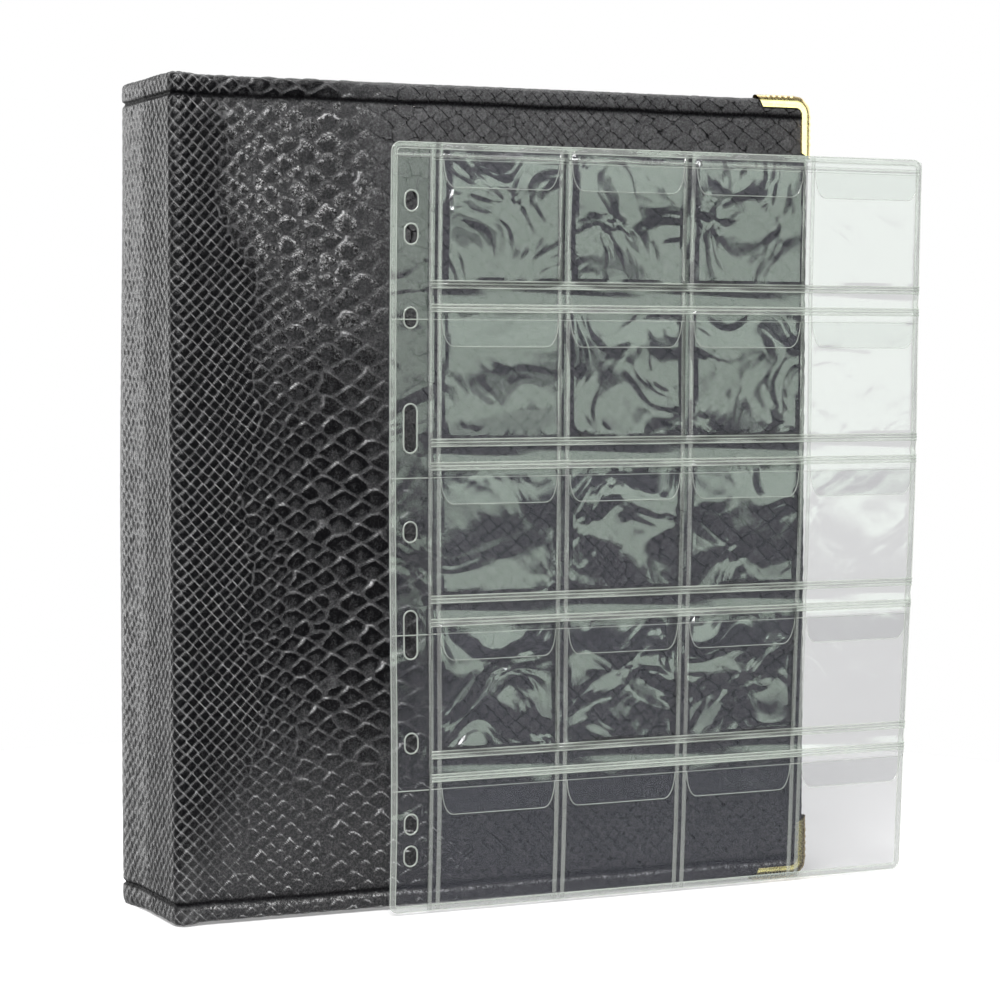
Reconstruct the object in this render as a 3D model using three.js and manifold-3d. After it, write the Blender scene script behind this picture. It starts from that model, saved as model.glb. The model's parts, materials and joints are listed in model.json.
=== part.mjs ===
// A ring album for coins: padded front and back covers hinged on a spine, a four-ring mechanism
// on the back cover, nine pocket pages on its posts, and a tenth page stood loose in front.
// Millimetres. +X runs from the spine to the fore-edge, +Y from the front cover to the back
// cover, +Z up. The origin is the middle of the back cover's foot.
import * as THREE from 'three';
import { mergeVertices } from 'three/addons/utils/BufferGeometryUtils.js';
import Module from 'manifold-3d';

const wasm = await Module();
wasm.setup();

// ---- driving dimensions -------------------------------------------------------------------

const ALBUM = { height: 271, width: 231.5, depth: 53.5 };
const HALF_DEPTH = ALBUM.depth / 2;
const MID_HEIGHT = ALBUM.height / 2;

// Depths below a cover's outer face, from the skin inwards.
const COVER = {
  cornerRadius: 6,
  skin: 0.9,
  paddingFrom: 1.0,
  paddingTo: 2.1,
  boardFrom: 2.2,
  boardTo: 4.3,
  lipFrom: 4.4,
  lipTo: 4.8,
  linerFrom: 4.85,
  linerTo: 5.25,
  turnIn: 15,
  linerInset: 4,
  boardInset: 1.2,
  paddingInset: 8,
};
const HINGE_GAP = 0.3;

// Depths below the spine's outer face.
const SPINE = {
  halfWidth: HALF_DEPTH - COVER.linerTo - HINGE_GAP,
  skin: 0.9,
  boardFrom: 1.0,
  boardTo: 3.2,
  lipFrom: 3.3,
  lipTo: 3.7,
  linerFrom: 3.75,
  linerTo: 4.15,
  turnIn: 10,
  linerInset: 2,
};

const CORNER = { reach: 21, flange: 3.6, sheet: 0.5, seat: 0.15, slant: 2.2 };

const RINGS = {
  offsets: [-106, -35.5, 35.5, 106],
  wire: 1.5,
  sides: 8,
  postX: 30,
  postTop: -11.4,
  pivotX: 12.5,
  pivotY: 19.9,
};
const PLATE = { halfLength: 118, left: 9.4, right: 34, foot: 21.3, shoulder: 15.4, sheet: 0.8 };
const BLADE = { left: 11.4, right: 27, front: 19.4, back: 20.2, halfLength: 109 };
const RIVET = { offsets: [-70, 70], x: 22, shank: 1.8, head: 3.6, headHeight: 0.9 };
const LEVER = { halfWidth: 6, pivotInset: 4, inner: 5, reach: 14, sheet: 1, rise: 3 };

const PAGE = {
  width: 200,
  height: 250,
  cornerRadius: 2.5,
  columns: 4,
  rows: 5,
  margin: 14.5,
  columnPitch: 46.25,
  rowPitch: 51,
  firstMouth: 40.5,
  weld: 1,
  weldPair: 3,
  lowerWeld: 11.3,
  upperWeld: 3.7,
  tongueDrop: 8.7,
  tongueInset: 1.6,
  tongueRadius: 6,
  film: 0.3,
  filmGap: 0.1,
};
const HOLE = { x: 7.6, halfWidth: 2, halfHeight: 3, slotHalfHeight: 7.6 };
const HOLE_OFFSETS = [
  [0, HOLE.halfHeight],
  [33.5, HOLE.slotHalfHeight],
  [69, HOLE.halfHeight],
  [95.7, HOLE.halfHeight],
  [106.3, HOLE.halfHeight],
];

const FILED = { count: 9, firstY: 12.4, pitch: 2.7, thickness: 0.9, foldGap: 0.4 };
const LOOSE = { x: 68.2, gap: 9.6, foot: 0.3, yaw: 1.77, lean: 2.34 };

// ---- materials ----------------------------------------------------------------------------

const material = (color, roughness, metalness = 0, opacity = 1) =>
  new THREE.MeshStandardMaterial({
    color,
    roughness,
    metalness,
    opacity,
    transparent: opacity < 1,
  });

const MATERIALS = {
  leatherette: material(0x1b1b1c, 0.32),
  padding: material(0xb9b6ac, 0.95),
  board: material(0x8d8375, 0.9),
  liner: material(0x17171a, 0.6),
  brass: material(0xe0bf62, 0.25, 1),
  steel: material(0xd4d6d8, 0.18, 1),
  film: material(0xdfe8e2, 0.12, 0, 0.3),
};

// ---- solids -------------------------------------------------------------------------------

// A closed geometry as a manifold-3d solid.
function solid(geometry) {
  const bare = new THREE.BufferGeometry();
  const source = geometry.index ? geometry.toNonIndexed() : geometry;
  bare.setAttribute('position', source.getAttribute('position'));
  const merged = mergeVertices(bare, 1e-4);
  const mesh = new wasm.Mesh({
    numProp: 3,
    vertProperties: merged.attributes.position.array,
    triVerts: new Uint32Array(merged.index.array),
  });
  return new wasm.Manifold(mesh);
}

// A manifold-3d solid as a geometry.
function geometryOf(made) {
  const mesh = made.getMesh();
  const geometry = new THREE.BufferGeometry();
  geometry.setAttribute('position', new THREE.BufferAttribute(mesh.vertProperties, 3));
  geometry.setIndex(new THREE.BufferAttribute(mesh.triVerts, 1));
  geometry.computeVertexNormals();
  return geometry;
}

function box([x0, x1], [y0, y1], [z0, z1]) {
  const geometry = new THREE.BoxGeometry(x1 - x0, y1 - y0, z1 - z0);
  return geometry.translate((x0 + x1) / 2, (y0 + y1) / 2, (z0 + z1) / 2);
}

// An outline in X and Z, made solid between two values of Y.
function slab(shape, yA, yB, curveSegments = 4) {
  const depth = Math.abs(yB - yA);
  const geometry = new THREE.ExtrudeGeometry(shape, {
    depth,
    bevelEnabled: false,
    curveSegments,
  });
  return geometry.rotateX(Math.PI / 2).translate(0, Math.max(yA, yB), 0);
}

// An outline in X and Y, made solid between two heights.
function column(shape, z0, z1, curveSegments = 4) {
  const options = { depth: z1 - z0, bevelEnabled: false, curveSegments };
  return new THREE.ExtrudeGeometry(shape, options).translate(0, 0, z0);
}

// A round bar along Y.
function pinAlongY(x, z, radius, y0, y1, sides = 14) {
  const geometry = new THREE.CylinderGeometry(radius, radius, y1 - y0, sides);
  return geometry.translate(x, (y0 + y1) / 2, z);
}

// A rectangle with round corners: near corners are at x0, far corners at x1.
function roundRect(x0, x1, z0, z1, near, far) {
  const shape = new THREE.Shape();
  shape.moveTo(x0 + near, z0);
  shape.lineTo(x1 - far, z0);
  shape.absarc(x1 - far, z0 + far, far, -Math.PI / 2, 0);
  shape.lineTo(x1, z1 - far);
  shape.absarc(x1 - far, z1 - far, far, 0, Math.PI / 2);
  shape.lineTo(x0 + near, z1);
  if (near > 0) shape.absarc(x0 + near, z1 - near, near, Math.PI / 2, Math.PI);
  shape.lineTo(x0, z0 + near);
  if (near > 0) shape.absarc(x0 + near, z0 + near, near, Math.PI, 1.5 * Math.PI);
  return shape;
}

const album = new THREE.Group();
album.position.set(-ALBUM.width / 2, COVER.lipTo / 2 - HALF_DEPTH, 0);

function add(name, geometry, look, parent = album) {
  const mesh = new THREE.Mesh(geometry, MATERIALS[look]);
  mesh.name = name;
  parent.add(mesh);
  return mesh;
}

// ---- covers -------------------------------------------------------------------------------

// The outline of a cover, drawn in by a margin all round.
function coverOutline(inset) {
  const far = Math.max(COVER.cornerRadius - inset, 0.8);
  const width = ALBUM.width - inset;
  return roundRect(inset, width, inset, ALBUM.height - inset, 0, far);
}

// A quarter of the cover's border at a fore-edge corner, with slanted ends.
function cornerFlange(top, grow) {
  const flange = CORNER.flange + grow;
  const reach = CORNER.reach + grow;
  const inner = Math.max(COVER.cornerRadius - CORNER.flange, 1);
  const edgeX = ALBUM.width;
  const edgeZ = top ? ALBUM.height : 0;
  const inwards = top ? -1 : 1;
  const at = (u, v) => [edgeX - u, edgeZ + inwards * v];
  const shape = new THREE.Shape();
  shape.moveTo(...at(-grow, -grow));
  shape.lineTo(...at(reach, -grow));
  shape.lineTo(...at(reach - CORNER.slant, flange));
  shape.lineTo(...at(flange + inner, flange));
  shape.lineTo(...at(flange + inner * 0.3, flange + inner * 0.3));
  shape.lineTo(...at(flange, flange + inner));
  shape.lineTo(...at(flange, reach - CORNER.slant));
  shape.lineTo(...at(-grow, reach));
  return shape;
}

function cover(side, name) {
  const depthAt = (t) => side * (HALF_DEPTH - t);
  const layer = (inset, from, to) => slab(coverOutline(inset), depthAt(from), depthAt(to));
  const rivetHoles = (clearance) =>
    RIVET.offsets.map((z) =>
      solid(pinAlongY(RIVET.x, MID_HEIGHT + z, RIVET.shank + clearance, -30, 30)),
    );
  const drilled = (geometry) => {
    if (side < 0) return geometry;
    return geometryOf(rivetHoles(0.2).reduce((rest, hole) => rest.subtract(hole), solid(geometry)));
  };

  // The skin wraps the edges and turns in over the board.
  let skin = solid(layer(0, 0, COVER.lipTo))
    .subtract(solid(layer(COVER.skin, COVER.skin, COVER.lipFrom)))
    .subtract(solid(layer(COVER.turnIn, COVER.lipFrom - 0.1, COVER.lipTo + 0.1)));
  const sheet = CORNER.sheet + CORNER.seat;
  for (const top of [false, true]) {
    const region = (from, to) =>
      solid(slab(cornerFlange(top, CORNER.seat), depthAt(from), depthAt(to)));
    const core = solid(layer(sheet, sheet, COVER.linerTo - sheet));
    skin = skin.subtract(region(-1, COVER.linerTo + 1).subtract(core));
  }
  add(name + '_skin', geometryOf(skin), 'leatherette');
  add(name + '_padding', layer(COVER.paddingInset, COVER.paddingFrom, COVER.paddingTo), 'padding');
  add(name + '_board', drilled(layer(COVER.boardInset, COVER.boardFrom, COVER.boardTo)), 'board');
  add(name + '_liner', drilled(layer(COVER.linerInset, COVER.linerFrom, COVER.linerTo)), 'liner');

  for (const [end, top] of [['bottom', false], ['top', true]]) {
    const around = solid(slab(cornerFlange(top, 0), depthAt(0), depthAt(COVER.linerTo)));
    const within = solid(layer(0, -1, COVER.linerTo + 1));
    const hollow = solid(layer(CORNER.sheet, CORNER.sheet, COVER.linerTo - CORNER.sheet));
    const channel = around.intersect(within).subtract(hollow);
    add(name + '_corner_' + end, geometryOf(channel), 'brass');
  }
}

function spine() {
  const panel = (inset, from, to) =>
    box(
      [from, to],
      [-SPINE.halfWidth + inset, SPINE.halfWidth - inset],
      [inset, ALBUM.height - inset],
    );
  const skin = solid(panel(0, 0, SPINE.lipTo))
    .subtract(solid(panel(SPINE.skin, SPINE.skin, SPINE.lipFrom)))
    .subtract(solid(panel(SPINE.turnIn, SPINE.lipFrom - 0.1, SPINE.lipTo + 0.1)));
  add('spine_skin', geometryOf(skin), 'leatherette');
  add('spine_board', panel(COVER.boardInset, SPINE.boardFrom, SPINE.boardTo), 'board');
  add('spine_liner', panel(SPINE.linerInset, SPINE.linerFrom, SPINE.linerTo), 'liner');
}

// ---- ring mechanism -----------------------------------------------------------------------

// The sheet that covers the mechanism, arched away from the back cover.
function ringPlate() {
  const { left, right, foot, shoulder, sheet } = PLATE;
  const arch = (shape, inset, low) => {
    const top = shoulder + inset;
    shape.moveTo(left + inset, low);
    shape.lineTo(right - inset, low);
    shape.bezierCurveTo(right - inset, top + 2, right - 2.5, top, right - 5, top);
    shape.lineTo(left + 4, top);
    shape.bezierCurveTo(left + 2, top, left + inset, top + 2, left + inset, low);
    return shape;
  };
  const z0 = MID_HEIGHT - PLATE.halfLength;
  const z1 = MID_HEIGHT + PLATE.halfLength;
  let plate = solid(column(arch(new THREE.Shape(), 0, foot), z0, z1));
  plate = plate.subtract(solid(column(arch(new THREE.Shape(), sheet, foot + 1), z0 - 1, z1 + 1)));
  for (const offset of RINGS.offsets) {
    const z = MID_HEIGHT + offset;
    const slot = box([10.6, 17.6], [10, 19.2], [z - RINGS.wire - 0.4, z + RINGS.wire + 0.4]);
    plate = plate.subtract(solid(slot));
    plate = plate.subtract(solid(pinAlongY(RINGS.postX, z, RINGS.wire + 0.2, 10, 19)));
  }
  for (const offset of RIVET.offsets) {
    const hole = pinAlongY(RIVET.x, MID_HEIGHT + offset, RIVET.shank + 0.2, 10, 19);
    plate = plate.subtract(solid(hole));
  }
  for (const end of [-1, 1]) {
    const edge = MID_HEIGHT + end * PLATE.halfLength;
    const notch = box(
      [RIVET.x - LEVER.halfWidth - 0.6, RIVET.x + LEVER.halfWidth + 0.6],
      [10, 19.2],
      [edge - end * (LEVER.inner + LEVER.pivotInset), edge + end * LEVER.inner].sort((a, b) => a - b),
    );
    plate = plate.subtract(solid(notch));
  }
  add('ring_plate', geometryOf(plate), 'steel');
}

function ringPosts() {
  RINGS.offsets.forEach((offset, index) => {
    const z = MID_HEIGHT + offset;
    const shank = solid(pinAlongY(RINGS.postX, z, RINGS.wire, RINGS.postTop, 20.4, 12));
    const flange = solid(pinAlongY(RINGS.postX, z, RINGS.wire + 0.9, 19.6, 20.6, 12));
    add('ring_post_' + (index + 1), geometryOf(shank.add(flange)), 'steel');
  });
}

// The blade that swings, and the ring arches that stand on it.
function ringArches() {
  const z0 = MID_HEIGHT - BLADE.halfLength;
  const z1 = MID_HEIGHT + BLADE.halfLength;
  let blade = solid(box([BLADE.left, BLADE.right], [BLADE.front, BLADE.back], [z0, z1]));
  for (const offset of RIVET.offsets) {
    const z = MID_HEIGHT + offset;
    blade = blade.subtract(solid(box([17.5, 26], [15, 25], [z - 4.5, z + 4.5])));
  }
  add('ring_blade', geometryOf(blade), 'steel');

  const section = new THREE.Shape();
  section.absarc(0, 0, RINGS.wire, 0, 2 * Math.PI);
  RINGS.offsets.forEach((offset, index) => {
    const z = MID_HEIGHT + offset;
    const at = (x, y) => new THREE.Vector3(x, y, z);
    const path = new THREE.CatmullRomCurve3(
      [
        at(15.6, BLADE.front - 0.1),
        at(15.3, 14),
        at(14.8, 4),
        at(15, -6),
        at(17.6, -12.4),
        at(22.6, -15.2),
        at(27.4, -14.9),
        at(29.6, -13.4),
        at(RINGS.postX, RINGS.postTop - 0.3),
      ],
      false,
      'centripetal',
    );
    const options = { steps: 26, extrudePath: path, curveSegments: RINGS.sides / 2 };
    add('ring_arch_' + (index + 1), new THREE.ExtrudeGeometry(section, options), 'steel');
  });
}

// A lever at each end of the mechanism, drawn as a bent tab in Y and Z.
function levers() {
  for (const [name, end] of [['ring_lever_bottom', -1], ['ring_lever_top', 1]]) {
    const pivotZ = MID_HEIGHT + end * (PLATE.halfLength - LEVER.pivotInset);
    const shape = new THREE.Shape();
    shape.moveTo(-LEVER.inner + 1.2, 0.2);
    shape.lineTo(0, 0.2);
    shape.lineTo(LEVER.reach, -LEVER.rise);
    shape.lineTo(LEVER.reach, -LEVER.rise + LEVER.sheet);
    shape.lineTo(0, LEVER.sheet + 0.2);
    shape.lineTo(-LEVER.inner + 1.2, LEVER.sheet + 0.2);
    const width = 2 * LEVER.halfWidth;
    const geometry = new THREE.ExtrudeGeometry(shape, { depth: width, bevelEnabled: false });
    geometry.translate(0, 0, -LEVER.halfWidth);
    const lever = add(name, geometry, 'steel');
    // Local X becomes the way out of the end, local Y stays towards the back cover.
    lever.rotation.y = (-end * Math.PI) / 2;
    lever.position.set(RIVET.x, 17, pivotZ);
  }
}

function rivets() {
  [['ring_rivet_bottom', RIVET.offsets[0]], ['ring_rivet_top', RIVET.offsets[1]]].forEach(
    ([name, offset]) => {
      const z = MID_HEIGHT + offset;
      const profile = [
        [0, 0],
        [RIVET.head, 0],
        [RIVET.head * 0.7, RIVET.headHeight * 0.75],
        [0, RIVET.headHeight],
      ];
      const dome = new THREE.LatheGeometry(
        profile.map(([r, h]) => new THREE.Vector2(r, h)),
        14,
      );
      dome.rotateX(Math.PI).translate(RIVET.x, PLATE.shoulder - 0.1, z);
      const tail = HALF_DEPTH - COVER.boardFrom - 0.1;
      const shank = pinAlongY(RIVET.x, z, RIVET.shank, PLATE.shoulder - 0.4, tail);
      add(name, geometryOf(solid(dome).add(solid(shank))), 'steel');
    },
  );
}

// ---- pages --------------------------------------------------------------------------------

// The nine holes along a page's bound edge, each with round ends.
function punchHoles(shape, segments) {
  for (const [offset, halfHeight] of HOLE_OFFSETS) {
    const signs = offset ? [-1, 1] : [1];
    for (const z of signs.map((sign) => PAGE.height / 2 + sign * offset)) {
      const straight = halfHeight - HOLE.halfWidth;
      const hole = new THREE.Path();
      for (const [centre, start] of [[z + straight, 0], [z - straight, Math.PI]]) {
        for (let step = 0; step <= segments; step += 1) {
          const angle = start + (Math.PI * step) / segments;
          const x = HOLE.x + HOLE.halfWidth * Math.cos(angle);
          const y = centre + HOLE.halfWidth * Math.sin(angle);
          if (step === 0 && start === 0) hole.moveTo(x, y);
          else hole.lineTo(x, y);
        }
      }
      shape.holes.push(hole);
    }
  }
  return shape;
}

// The x range of a pocket, between its welds.
function pocketSpan(columnIndex) {
  const left = PAGE.margin + PAGE.weldPair + columnIndex * PAGE.columnPitch;
  return [left, left + PAGE.columnPitch - PAGE.weldPair];
}

// One row's pocket film: it covers the four pockets below a mouth.
function pocketFilm(row) {
  const mouth = PAGE.firstMouth + row * PAGE.rowPitch;
  const foot = row === 0 ? 0 : mouth - PAGE.rowPitch + PAGE.upperWeld + PAGE.weld;
  const shape = new THREE.Shape();
  shape.moveTo(PAGE.margin, foot);
  shape.lineTo(PAGE.width, foot);
  shape.lineTo(PAGE.width, mouth);
  shape.lineTo(PAGE.margin, mouth);
  return slab(shape, -PAGE.film - PAGE.filmGap, -2 * PAGE.film - PAGE.filmGap);
}

// One row's flap film: a strip welded above the mouth, with a round tongue over each pocket.
function flapFilm(row) {
  const mouth = PAGE.firstMouth + row * PAGE.rowPitch;
  const strip = mouth + 0.4;
  const head = Math.min(mouth + PAGE.upperWeld + PAGE.weld, PAGE.height);
  const low = mouth - PAGE.tongueDrop;
  const radius = PAGE.tongueRadius;
  const shape = new THREE.Shape();
  shape.moveTo(PAGE.margin, head);
  shape.lineTo(PAGE.margin, strip);
  for (let index = 0; index < PAGE.columns; index += 1) {
    const [left, right] = pocketSpan(index);
    const x0 = left + PAGE.tongueInset;
    const x1 = right - PAGE.tongueInset;
    shape.lineTo(x0, strip);
    shape.absarc(x0 + radius, low + radius, radius, Math.PI, 1.5 * Math.PI);
    shape.absarc(x1 - radius, low + radius, radius, 1.5 * Math.PI, 2 * Math.PI);
    shape.lineTo(x1, strip);
  }
  shape.lineTo(PAGE.width, strip);
  shape.lineTo(PAGE.width, head);
  const front = -2 * (PAGE.film + PAGE.filmGap);
  return slab(shape, front, front - PAGE.film);
}

function loosePage() {
  const page = new THREE.Group();
  page.rotation.order = 'ZYX';
  page.rotation.set(THREE.MathUtils.degToRad(LOOSE.lean), 0, THREE.MathUtils.degToRad(LOOSE.yaw));
  page.position.set(LOOSE.x, -HALF_DEPTH - LOOSE.gap, LOOSE.foot);
  album.add(page);
  const radius = PAGE.cornerRadius;
  const outline = roundRect(0, PAGE.width, 0, PAGE.height, radius, radius);
  add('loose_page_back_film', slab(punchHoles(outline, 5), 0, -PAGE.film), 'film', page);
  for (let row = 0; row < PAGE.rows; row += 1) {
    add('loose_page_pocket_film_' + (row + 1), pocketFilm(row), 'film', page);
    add('loose_page_flap_' + (row + 1), flapFilm(row), 'film', page);
  }
}

// The pages on the posts: a punched margin strip, and a pocket panel that turns on its welds.
function filedPages() {
  const left = RINGS.postX - HOLE.x;
  const foot = MID_HEIGHT - PAGE.height / 2;
  const fold = PAGE.margin + PAGE.weldPair / 2;
  const radius = PAGE.cornerRadius;
  for (let index = 0; index < FILED.count; index += 1) {
    const y = FILED.firstY - index * FILED.pitch;
    const half = FILED.thickness / 2;
    const strip = roundRect(0, fold - FILED.foldGap, 0, PAGE.height, radius, 0.01);
    const margin = slab(punchHoles(strip, 4), -half, half, 2);
    add('page_' + (index + 1) + '_margin', margin, 'film').position.set(left, y, foot);
    const sheet = roundRect(fold + FILED.foldGap, PAGE.width, 0, PAGE.height, 0, radius);
    const panel = slab(sheet, -half, half, 2);
    add('page_' + (index + 1) + '_panel', panel, 'film').position.set(left, y, foot);
  }
}

cover(-1, 'front_cover');
spine();
cover(1, 'back_cover');
ringPlate();
ringPosts();
ringArches();
levers();
rivets();
filedPages();
loosePage();

export default album;
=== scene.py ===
# The coin album's looks: a padded snake-grain cover, brass corners, rings, and clear pocket pages.
import json
import math

import bpy
import numpy as np
from mathutils import Matrix, Vector

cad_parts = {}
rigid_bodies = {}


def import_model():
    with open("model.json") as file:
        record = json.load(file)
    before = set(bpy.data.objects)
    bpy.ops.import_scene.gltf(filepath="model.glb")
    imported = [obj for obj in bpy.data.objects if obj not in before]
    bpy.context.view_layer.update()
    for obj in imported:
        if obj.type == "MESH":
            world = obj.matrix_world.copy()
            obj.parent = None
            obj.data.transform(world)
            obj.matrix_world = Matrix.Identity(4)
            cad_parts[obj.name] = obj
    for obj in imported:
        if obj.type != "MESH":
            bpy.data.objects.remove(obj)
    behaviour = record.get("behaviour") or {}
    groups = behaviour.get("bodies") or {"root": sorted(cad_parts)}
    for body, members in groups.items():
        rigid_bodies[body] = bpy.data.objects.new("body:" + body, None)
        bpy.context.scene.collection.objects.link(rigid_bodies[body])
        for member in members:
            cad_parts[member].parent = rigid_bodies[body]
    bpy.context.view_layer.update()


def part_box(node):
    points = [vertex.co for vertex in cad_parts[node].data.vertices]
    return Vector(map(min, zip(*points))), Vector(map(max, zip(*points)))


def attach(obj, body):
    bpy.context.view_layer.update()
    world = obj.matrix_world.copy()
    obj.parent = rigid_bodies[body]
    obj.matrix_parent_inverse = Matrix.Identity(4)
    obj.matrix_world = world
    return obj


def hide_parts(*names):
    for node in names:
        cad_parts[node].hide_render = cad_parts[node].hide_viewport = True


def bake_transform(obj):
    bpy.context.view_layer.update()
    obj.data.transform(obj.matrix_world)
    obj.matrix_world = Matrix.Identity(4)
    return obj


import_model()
scene = bpy.context.scene
MM = 0.001

# ---- the album's own measures, in millimetres -------------------------------------------------

front_lo, front_hi = (Vector(c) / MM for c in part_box("front_cover_skin"))
back_lo, back_hi = (Vector(c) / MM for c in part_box("back_cover_skin"))
X0, Y0 = front_lo.x, front_lo.y  # the outer corner of the front cover and the spine
WIDTH = front_hi.x - X0
DEPTH = back_hi.y - Y0
HEIGHT = front_hi.z
COVER_ROLL, SPINE_ROLL, HINGE_ROLL = 2.4, 1.85, 1.6  # radii of the turned edges
HINGE_RADIUS = 3.8  # of the skin where it bends round between spine and cover
CORNER_RADIUS = 6.0
CREASE = 6.6  # from the head and foot edges to the pressed crease
BRASS_REACH, BRASS_FLANGE, BRASS_SLANT = 21.0, 3.6, 2.2

# ---- camera -----------------------------------------------------------------------------------

CAMERA = Vector((X0 - 289.5, Y0 - 885.5, 179.6)) * MM
camera = bpy.data.objects.new("camera", bpy.data.cameras.new("camera"))
scene.collection.objects.link(camera)
camera.location = CAMERA
camera.rotation_euler = (math.radians(90 - 3.84), 0, math.radians(-24.465))
camera.data.lens = 105.5
camera.data.sensor_width = 36
camera.data.shift_y = 0.06
camera.data.clip_start = 0.02
scene.camera = camera


# ---- node helpers -----------------------------------------------------------------------------


class Nodes:
    """A node tree being wired up by short calls."""

    def __init__(self, tree):
        self.tree = tree
        tree.nodes.clear()

    def add(self, kind, inputs=None, **settings):
        """A node with its settings made and its inputs linked or set."""
        node = self.tree.nodes.new(kind)
        for key, value in settings.items():
            setattr(node, key, value)
        for key, value in (inputs or {}).items():
            if isinstance(value, bpy.types.NodeSocket):
                self.tree.links.new(value, node.inputs[key])
            else:
                node.inputs[key].default_value = value
        return node

    def place(self):
        """Object coordinates in millimetres."""
        found = self.add("ShaderNodeTexCoord").outputs["Object"]
        inputs = {0: found, "Scale": 1 / MM}
        return self.add("ShaderNodeVectorMath", inputs, operation="SCALE").outputs[0]

    def attribute(self, name):
        return self.add("ShaderNodeAttribute", attribute_name=name).outputs["Fac"]

    def times(self, a, b):
        return self.add("ShaderNodeMath", {0: a, 1: b}, operation="MULTIPLY").outputs[0]

    def larger(self, a, b):
        return self.add("ShaderNodeMath", {0: a, 1: b}, operation="MAXIMUM").outputs[0]

    def noise(self, vector, scale, detail=3.0, rough=0.5, swirl=0.0):
        """Fractal noise; scale is in cycles per millimetre."""
        inputs = {"Vector": vector, "Scale": scale, "Detail": detail, "Roughness": rough}
        inputs["Distortion"] = swirl
        return self.add("ShaderNodeTexNoise", inputs).outputs["Fac"]

    def ramp(self, value, low, high, a, b):
        """From a at low to b at high, and level beyond them."""
        inputs = {0: value, 1: low, 2: high, 3: a, 4: b}
        return self.add("ShaderNodeMapRange", inputs).outputs[0]

    def blend(self, factor, a, b):
        """A colour between a and b."""
        node = self.add("ShaderNodeMix", {0: factor, 6: a, 7: b}, data_type="RGBA")
        return node.outputs[2]

    def bump(self, height, strength, distance):
        """A normal from a height; the distance is in millimetres."""
        inputs = {"Height": height, "Strength": strength, "Distance": distance * MM}
        return self.add("ShaderNodeBump", inputs).outputs["Normal"]

    def surface(self, **inputs):
        """The one Principled shader, with its sockets named by underscores."""
        named = {key.replace("_", " "): value for key, value in inputs.items()}
        shader = self.add("ShaderNodeBsdfPrincipled", named)
        output = self.add("ShaderNodeOutputMaterial")
        self.tree.links.new(shader.outputs[0], output.inputs[0])


def new_material(name):
    material = bpy.data.materials.new(name)
    material.use_nodes = True
    return material, Nodes(material.node_tree)


# ---- materials --------------------------------------------------------------------------------


def leatherette():
    """Glossy black scales on a speckled grey ground, with painted highlights on the scales' rims,
    painted glints at their heads, and dull creases painted black as shade. The black and the grey
    are partly the skin's own two tones and partly painted shade and light. What is where comes from
    the values painted on the skin's points."""
    material, n = new_material("leatherette")
    place = n.place()
    black_and_shade, crease = n.attribute("scale_gloss"), n.attribute("scale_line")
    speck = n.ramp(n.noise(place, 1.4, 5.0, 0.9), 0.48, 0.62, 0.0, 1.0)

    # Between the scales: grey, uneven and speckled, with a pale network of lines broken in places;
    # the grey and the pale lines are partly the skin's own tone and partly painted light.
    ground = n.blend(n.noise(place, 0.02, 2.0), (0.018, 0.018, 0.019, 1), (0.034, 0.034, 0.036, 1))
    ground = n.blend(n.times(speck, 0.5), ground, (0.16, 0.16, 0.162, 1))
    worn = n.ramp(n.noise(place, 0.8, 3.0, 0.7), 0.36, 0.6, 0.12, 1.0)
    netted_and_lit = n.blend(n.times(n.attribute("scale_net"), worn), ground, (0.42, 0.42, 0.423, 1))

    # The scales: black, with painted highlights in dashes along their rims and painted glints at
    # their heads.
    black = n.blend(n.times(speck, 0.25), (0.002, 0.002, 0.0025, 1), (0.06, 0.06, 0.061, 1))
    broken = n.ramp(n.noise(place, 1.1, 3.0, 0.7), 0.4, 0.58, 0.15, 1.0)
    dotted = n.ramp(n.noise(place, 0.8, 6.0, 0.95), 0.5, 0.6, 0.0, 1.0)
    rim_highlights = n.times(n.attribute("scale_rim"), broken)
    glints = n.times(n.attribute("scale_glint"), dotted)

    wrinkle = n.times(n.noise(place, 1.5, 4.0, 0.8), n.ramp(black_and_shade, 0, 1, 1, 0.35))
    n.surface(
        Base_Color=n.blend(
            n.larger(rim_highlights, glints), n.blend(black_and_shade, netted_and_lit, black), (0.85, 0.85, 0.85, 1)
        ),
        Roughness=n.ramp(n.noise(place, 0.25, 4.0), 0.3, 0.75, 0.1, 0.22),
        Normal=n.bump(wrinkle, 1.0, 0.45),
        Coat_Weight=n.ramp(crease, 0.15, 0.6, 0.18, 0.0),
        Coat_Roughness=0.06,
        Specular_IOR_Level=n.ramp(crease, 0.15, 0.6, 0.34, 0.02),
    )
    return material


def brass():
    """Thin polished brass, a little worn."""
    material, n = new_material("brass")
    place = n.place()
    n.surface(
        Base_Color=n.blend(n.noise(place, 0.35, 4.0), (0.93, 0.69, 0.3, 1), (0.97, 0.8, 0.45, 1)),
        Metallic=1.0,
        Roughness=n.ramp(n.noise(place, 1.6, 3.0), 0.3, 0.7, 0.2, 0.36),
        Normal=n.bump(n.noise(place, 3.0, 2.0), 0.12, 0.1),
    )
    return material


def steel():
    """Nickel-plated steel, brushed along its length."""
    material, n = new_material("steel")
    place = n.place()
    brushed = n.add("ShaderNodeVectorMath", {0: place, 1: (1.0, 1.0, 0.06)}, operation="MULTIPLY")
    grain = n.noise(brushed.outputs[0], 5.0, 3.0)
    n.surface(
        Base_Color=n.blend(grain, (0.66, 0.67, 0.69, 1), (0.8, 0.81, 0.82, 1)),
        Metallic=1.0,
        Roughness=n.ramp(n.noise(place, 0.3, 4.0), 0.3, 0.7, 0.12, 0.26),
        Normal=n.bump(grain, 0.08, 0.05),
    )
    return material


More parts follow.
